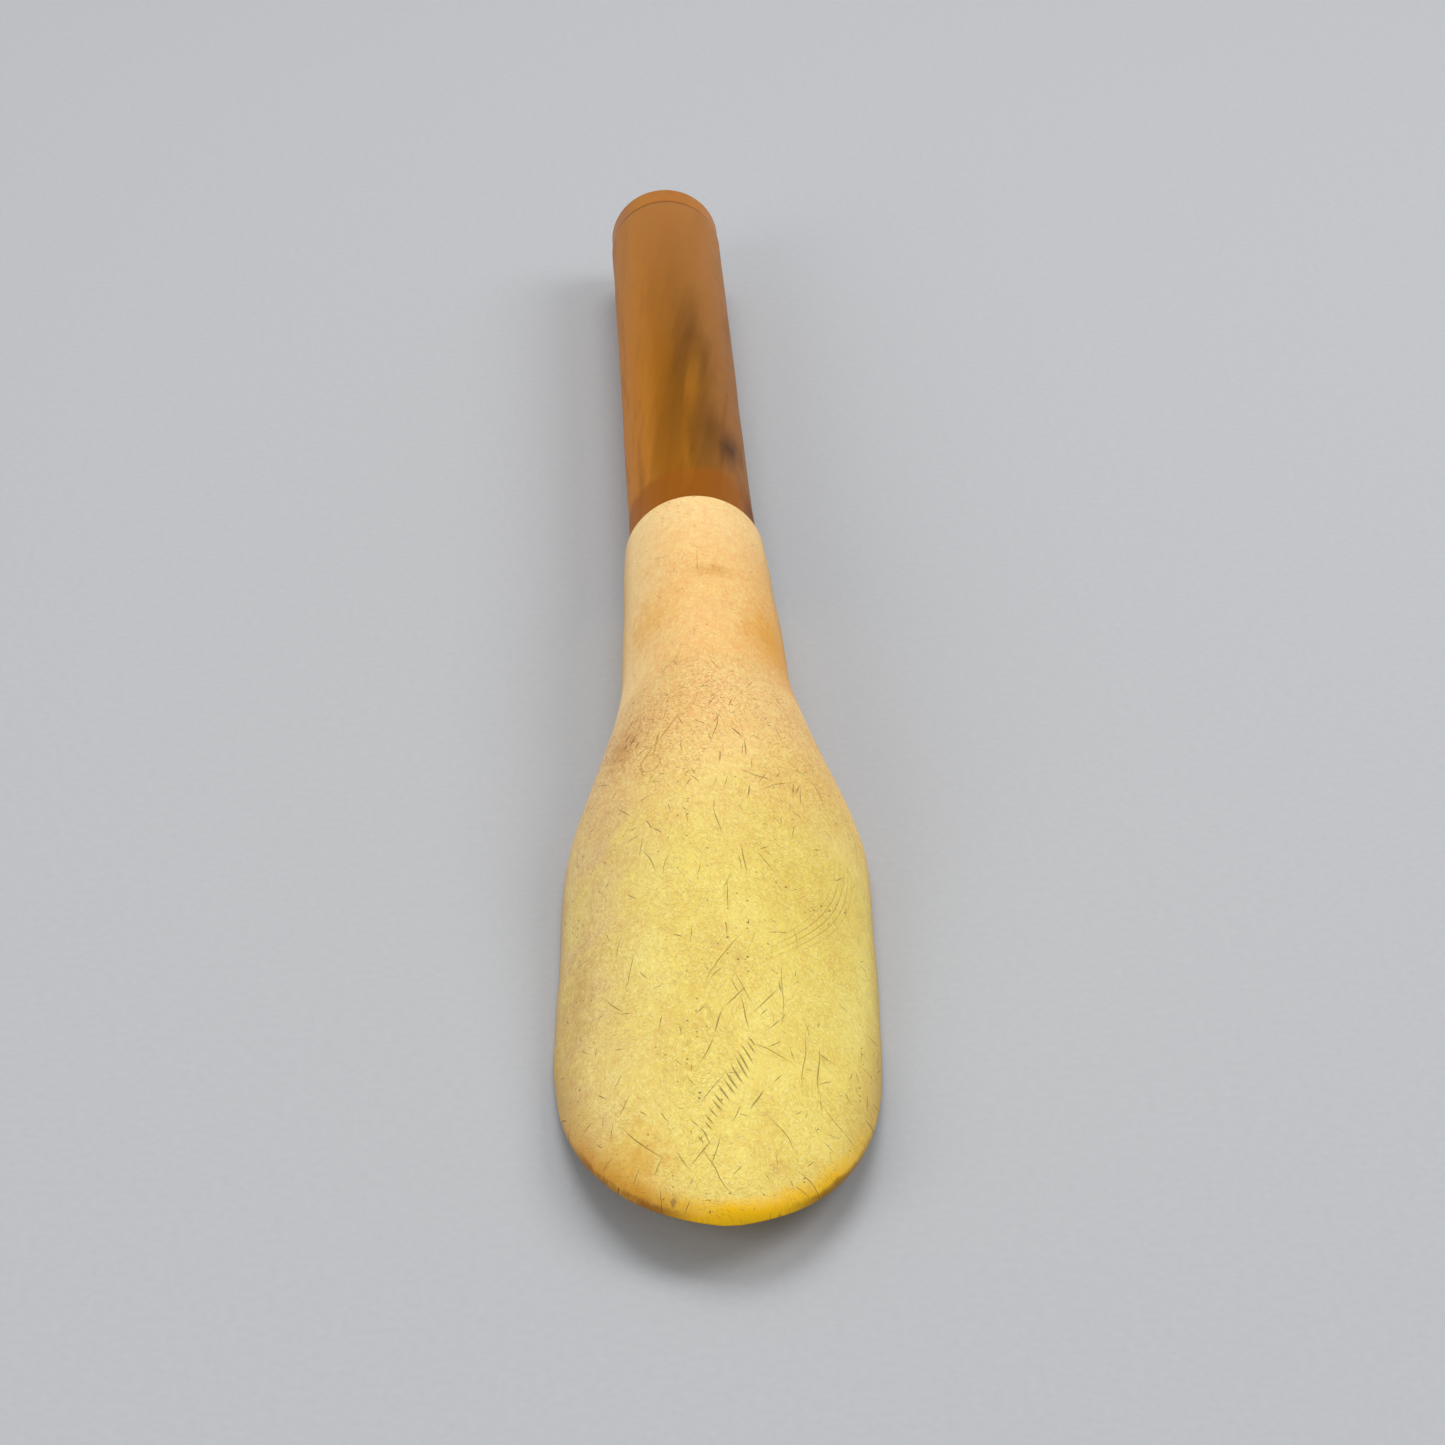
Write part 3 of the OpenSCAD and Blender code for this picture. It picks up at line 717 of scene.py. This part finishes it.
# Even band near the collar's end: painted glow of the pale dowel through the horn
joint_glow = add(tree, "ShaderNodeMapRange", {"Value": ragged_y, "From Min": handle_low.y + 0.0175,
                                              "From Max": handle_low.y + 0.0145,
                                              "To Max": 0.75}).outputs[0]
body = add(tree, "ShaderNodeMix", {0: joint_glow, 6: body, 7: linear("#945000")},
           data_type="RGBA").outputs[2]
far_along = add(tree, "ShaderNodeMapRange", {"Value": y_part, "From Min": handle_high.y - 0.07,
                                             "From Max": handle_high.y, "To Max": 0.7}).outputs[0]
body = add(tree, "ShaderNodeMix", {0: far_along, 6: body, 7: linear("#B0743A")},
           data_type="RGBA").outputs[2]
for x0, y0, x1, y1, half, colour, strength in STREAKS:
    gap, held = stroke(on_rod, x0, y0, x1, y1)
    thinning = add(tree, "ShaderNodeMath", {0: held, 1: 0.5}, operation="PINGPONG").outputs[0]
    layer = add(tree, "ShaderNodeMapRange", {"Value": gap, "From Min": 2.2 * half, "From Max": 0.0,
                                             "To Max": 2.2 * strength},
                interpolation_type="SMOOTHSTEP").outputs[0]
    layer = add(tree, "ShaderNodeMath", {0: layer, 1: thinning}, operation="MULTIPLY").outputs[0]
    body = add(tree, "ShaderNodeMix", {0: layer, 6: body, 7: linear(colour)}, data_type="RGBA").outputs[2]
smears = add(tree, "ShaderNodeTexNoise", {"Vector": slanted, "Scale": 0.35, "Detail": 4}).outputs["Fac"]
gloss = add(tree, "ShaderNodeMapRange", {"Value": smears, "To Min": 0.34, "To Max": 0.48}).outputs[0]
feed(tree, shader, {
    "Base Color": body, "Roughness": gloss, "IOR": 1.54, "Specular IOR Level": 0.03,
    "Subsurface Weight": 0.15, "Subsurface Radius": (1.0, 0.4, 0.05), "Subsurface Scale": 0.003,
})
handle.data.materials.append(horn)
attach(handle, "root")
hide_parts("handle")


# End cap: a low domed button of clear amber-coloured horn, turned with a spigot that is glued
# into the end of the handle. A fine seam shows where the two meet.
cap_low, cap_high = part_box("end_cap")
CAP_R = (cap_high.z - cap_low.z) / 2
CAP_BAND = 0.006
SPIGOT_D = 0.009
DOME_H = cap_high.y - handle_high.y - CAP_BAND
DOME_R = (CAP_R ** 2 + DOME_H ** 2) / (2 * DOME_H)
DOME_RINGS = 13

cap = add_rod(handle_high.y, handle_high.y + CAP_BAND, CAP_R, sides=72)
cap.name = "amber_end_cap"
bpy.ops.object.transform_apply(location=True, rotation=True, scale=True)
bpy.ops.object.mode_set(mode="EDIT")
button = bmesh.from_edit_mesh(cap.data)
for face in button.faces:
    face.select_set(face.normal.y < -0.9)
bmesh.update_edit_mesh(cap.data)
bpy.ops.mesh.inset(thickness=CAP_R - SPIGOT_D / 2)
bpy.ops.mesh.extrude_region_move(TRANSFORM_OT_translate={"value": (0, -SPIGOT_BORE_L, 0)})
bpy.ops.mesh.select_all(action="DESELECT")
button = bmesh.from_edit_mesh(cap.data)
for face in button.faces:
    face.select_set(face.normal.y > 0.9)
bmesh.update_edit_mesh(cap.data)
radius = CAP_R
for i in range(1, DOME_RINGS):
    turn = math.asin(CAP_R / DOME_R) * (1 - i / DOME_RINGS)
    rise = DOME_R * math.cos(turn) - (DOME_R - DOME_H)
    step = rise - (DOME_R * math.cos(math.asin(radius / DOME_R)) - (DOME_R - DOME_H))
    bpy.ops.mesh.extrude_region_move(TRANSFORM_OT_translate={"value": (0, step, 0)})
    shrink = DOME_R * math.sin(turn) / radius
    bpy.ops.transform.resize(value=(shrink, 1, shrink), center_override=(AXIS_X, handle_high.y, AXIS_Z))
    radius *= shrink
bpy.ops.mesh.select_all(action="SELECT")
bpy.ops.mesh.normals_make_consistent(inside=False)
bpy.ops.object.mode_set(mode="OBJECT")
bpy.ops.object.shade_smooth_by_angle(angle=math.radians(40))

# Amber-coloured horn: clear golden brown that glows where it is thin, with faint layers in it.
amber, tree, shader = new_material("amber_coloured_horn")
place = add(tree, "ShaderNodeTexCoord").outputs["Object"]
layers = add(tree, "ShaderNodeMapping", {"Vector": place, "Scale": (420, 60, 420)}).outputs[0]
streaks = add(tree, "ShaderNodeTexNoise", {"Vector": layers, "Scale": 1.0, "Detail": 3}).outputs["Fac"]
tint = add(tree, "ShaderNodeMix", {0: streaks, 6: linear("#A25A12"), 7: linear("#BE7C26")},
           data_type="RGBA").outputs[2]
y_part = add(tree, "ShaderNodeSeparateXYZ", {0: place}).outputs["Y"]
seam = add(tree, "ShaderNodeMapRange", {"Value": y_part, "From Min": handle_high.y + 0.0012,
                                        "From Max": handle_high.y + 0.0003, "To Max": 0.7}).outputs[0]
tint = add(tree, "ShaderNodeMix", {0: seam, 6: tint, 7: linear("#6E3A0E")}, data_type="RGBA").outputs[2]
gloss = add(tree, "ShaderNodeMapRange", {"Value": streaks, "To Min": 0.3, "To Max": 0.45}).outputs[0]
feed(tree, shader, {
    "Base Color": tint, "Roughness": gloss, "IOR": 1.54, "Specular IOR Level": 0.06,
    "Subsurface Weight": 0.2, "Subsurface Radius": (1.0, 0.45, 0.1), "Subsurface Scale": 0.003,
})
cap.data.materials.append(amber)
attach(cap, "root")
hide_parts("end_cap")


# Floor: a pale grey matt board, far wider than the view.
bpy.ops.object.select_all(action="DESELECT")
bpy.ops.mesh.primitive_plane_add(size=6)
floor = bpy.context.object
floor.name = "floor"
board, tree, shader = new_material("matt_board")
place = add(tree, "ShaderNodeTexCoord").outputs["Object"]
pulp = add(tree, "ShaderNodeTexNoise", {"Vector": place, "Scale": 900, "Detail": 3}).outputs["Fac"]
tint = add(tree, "ShaderNodeMix", {0: pulp, 6: linear("#AFAFB2"), 7: linear("#B9B9BC")},
           data_type="RGBA").outputs[2]
feed(tree, shader, {"Base Color": tint, "Roughness": 0.75})
floor.data.materials.append(board)

# Light: three broad soft panels, at the right, at the front left and high over the handle,
# and an even pale sky round them.
for name, where, size, watts in (
    ("right_panel", (0.76, -0.02, 0.78), 0.6, 4.15),
    ("front_left_panel", (-0.7, -0.7, 0.48), 0.6, 3.9),
    ("back_panel", (0.0, 0.46, 1.0), 0.8, 5.7),
):
    panel = bpy.data.lights.new(name, "AREA")
    panel.shape = "DISK"
    panel.size = size
    panel.energy = watts
    panel_object = bpy.data.objects.new(name, panel)
    panel_object.location = where
    panel_object.rotation_euler = panel_object.location.to_track_quat("Z", "Y").to_euler()
    bpy.context.scene.collection.objects.link(panel_object)
sky = bpy.data.worlds.new("pale_sky")
bpy.context.scene.world = sky
sky.use_nodes = True
feed(sky.node_tree, sky.node_tree.nodes["Background"], {"Color": linear("#EAF1F2"), "Strength": 0.46})

# Camera: low over the tip, looking along the blade with a long lens.
eye = bpy.data.cameras.new("eye")
eye.sensor_width = 36
eye.lens = 99.65
eye_object = bpy.data.objects.new("eye", eye)
eye_object.location = (-0.02069, -0.52931, 0.28419)
eye_object.rotation_euler = (math.radians(61), 0, math.radians(-2.7632))
bpy.context.scene.collection.objects.link(eye_object)
bpy.context.scene.camera = eye_object
bpy.context.scene.view_settings.view_transform = "Standard"
